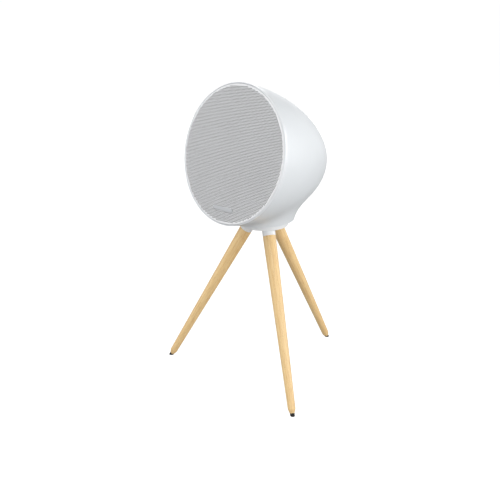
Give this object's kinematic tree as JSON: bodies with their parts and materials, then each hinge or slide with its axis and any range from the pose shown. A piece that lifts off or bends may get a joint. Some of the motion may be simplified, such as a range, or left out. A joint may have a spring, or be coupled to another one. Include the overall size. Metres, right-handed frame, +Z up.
{
  "type": "smart speaker",
  "caption": "Round-grille smart speaker with an egg-shaped white head that swivels on a splayed wooden tripod.",
  "frame": {"origin": "on the floor, on the tripod's axis, midway between the three feet", "axes": "+Z up along the head's swivel axis; the grille faces -Y and leans back 13 degrees; +X is the listener's right-hand side seen from the front"},
  "size_m": [0.2822, 0.2522, 0.4595],
  "materials": {
    "white_shell": "satin soft-touch white",
    "white_hub": "satin white",
    "grille_metal": "light grey powder coat",
    "badge_metal": "satin, blank",
    "black_plastic": "fine matt texture",
    "rear_plastic": "fine matt texture",
    "button_plastic": "satin",
    "dark_steel": "black finish",
    "steel": "zinc plated",
    "brass": "turned",
    "black_rubber": "matt",
    "cone_fibre": "woven fibre",
    "spider_cloth": "resin-treated cloth",
    "copper_coil": "enamelled copper wire",
    "ferrite": "ferrite and black steel",
    "dome_metal": "drawn foil",
    "circuit_board": "green solder mask",
    "light_pipe": "clear",
    "tray_metal": "bare sheet",
    "black_anodised": "black anodised",
    "capacitor_sleeve": "printed sleeve left plain",
    "beech": "clear satin lacquer"
  },
  "bodies": {
    "stand": {"hub": "white_hub", "stop_pin": "steel", "centre_bolt": "dark_steel", "leg_studs": "steel", "leg_left": "beech", "leg_right": "beech", "leg_rear": "beech", "foot_left": "black_rubber", "foot_right": "black_rubber", "foot_rear": "black_rubber"},
    "head": {"cabinet_shell": "white_shell", "front_ring": "white_shell", "grille": "grille_metal", "badge": "badge_metal", "baffle": "black_plastic", "baffle_screws": "dark_steel", "woofer_basket": "dark_steel", "woofer_surround": "black_rubber", "woofer_spider": "spider_cloth", "woofer_top_plate": "steel", "woofer_magnet": "ferrite", "woofer_yoke": "steel", "woofer_screws": "dark_steel", "tweeter_faceplate": "black_plastic", "tweeter_motor": "ferrite", "tweeter_screws": "dark_steel", "microphone_boards": "circuit_board", "rear_frame": "white_shell", "rear_panel": "rear_plastic", "rear_screws": "steel", "io_board": "circuit_board", "tact_switches": "black_plastic", "status_light": "light_pipe", "power_inlet": "black_plastic", "audio_socket": "black_plastic", "usb_socket": "steel", "neck_ring": "white_shell", "base_plate": "rear_plastic", "base_screws": "steel", "threaded_insert": "brass", "swivel_washer": "black_rubber", "board_tray": "tray_metal", "tray_screws": "steel", "main_board": "circuit_board", "board_standoffs": "brass", "heatsink": "black_anodised", "capacitors": "capacitor_sleeve", "inductors": "copper_coil", "wireless_module": "steel"},
    "woofer_moving": {"woofer_cone": "cone_fibre", "woofer_dust_cap": "cone_fibre", "woofer_voice_coil": "copper_coil"},
    "tweeter_moving": {"tweeter_dome": "dome_metal"},
    "button_power": {"button_power": "button_plastic"},
    "button_pairing": {"button_pairing": "button_plastic"},
    "button_volume_down": {"button_volume_down": "button_plastic"},
    "button_volume_up": {"button_volume_up": "button_plastic"}
  },
  "joints": [
    {"name": "head_swivel", "type": "hinge", "parent": "stand", "child": "head", "pos_m": [0, 0, 0.2535], "axis": [0, 0, 1], "range_deg": [-90, 90]},
    {"name": "woofer_excursion", "type": "slide", "parent": "head", "child": "woofer_moving", "axis": [0, -0.9744, 0.225], "range_m": [-0.004, 0.004], "stiffness_N_per_m": 1500, "deforming": ["woofer_surround", "woofer_spider"]},
    {"name": "tweeter_excursion", "type": "slide", "parent": "head", "child": "tweeter_moving", "axis": [0, -0.9744, 0.225], "range_m": [-0.0003, 0.0003], "stiffness_N_per_m": 2500},
    {"name": "button_power_press", "type": "slide", "parent": "head", "child": "button_power", "axis": [0, -0.9744, 0.225], "range_m": [0, 0.0008], "stiffness_N_per_m": 2500},
    {"name": "button_pairing_press", "type": "slide", "parent": "head", "child": "button_pairing", "axis": [0, -0.9744, 0.225], "range_m": [0, 0.0008], "stiffness_N_per_m": 2500},
    {"name": "button_volume_down_press", "type": "slide", "parent": "head", "child": "button_volume_down", "axis": [0, -0.9744, 0.225], "range_m": [0, 0.0008], "stiffness_N_per_m": 2500},
    {"name": "button_volume_up_press", "type": "slide", "parent": "head", "child": "button_volume_up", "axis": [0, -0.9744, 0.225], "range_m": [0, 0.0008], "stiffness_N_per_m": 2500}
  ]
}
